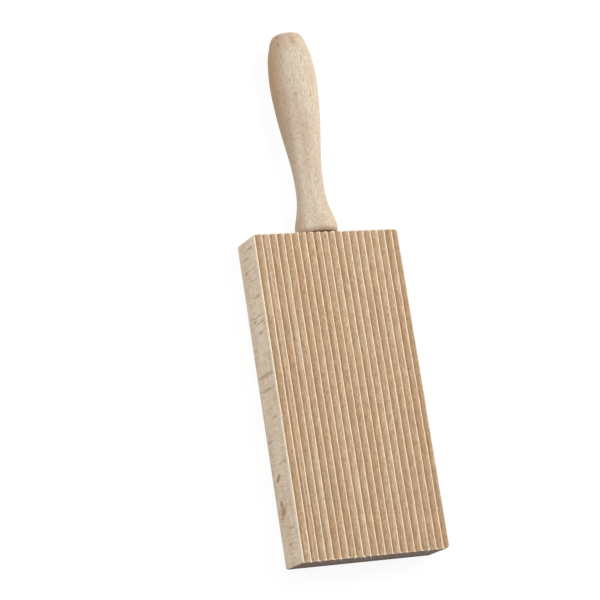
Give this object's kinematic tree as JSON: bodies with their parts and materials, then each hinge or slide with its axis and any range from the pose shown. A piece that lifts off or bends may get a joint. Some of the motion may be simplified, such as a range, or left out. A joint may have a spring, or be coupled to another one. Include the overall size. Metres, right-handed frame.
{
  "type": "gnocchi board",
  "caption": "Ribbed beech board with a turned handle, for rolling ridges into pieces of fresh pasta dough.",
  "frame": {"origin": "under the middle of the whole tool, at the height of its lowest point, the underside of the handle's belly", "axes": "+Z out of the ribbed face, +Y along the board towards the handle's tip, +X across the ribs"},
  "size_m": [0.08, 0.273, 0.0244],
  "materials": {
    "board_beech": "planed and moulded, unfinished",
    "handle_beech": "turned and sanded, unfinished",
    "dowel_beech": "fluted, unfinished"
  },
  "bodies": {
    "root": {"ribbed_board": "board_beech", "turned_handle": "handle_beech", "handle_dowel": "dowel_beech"}
  },
  "joints": []
}
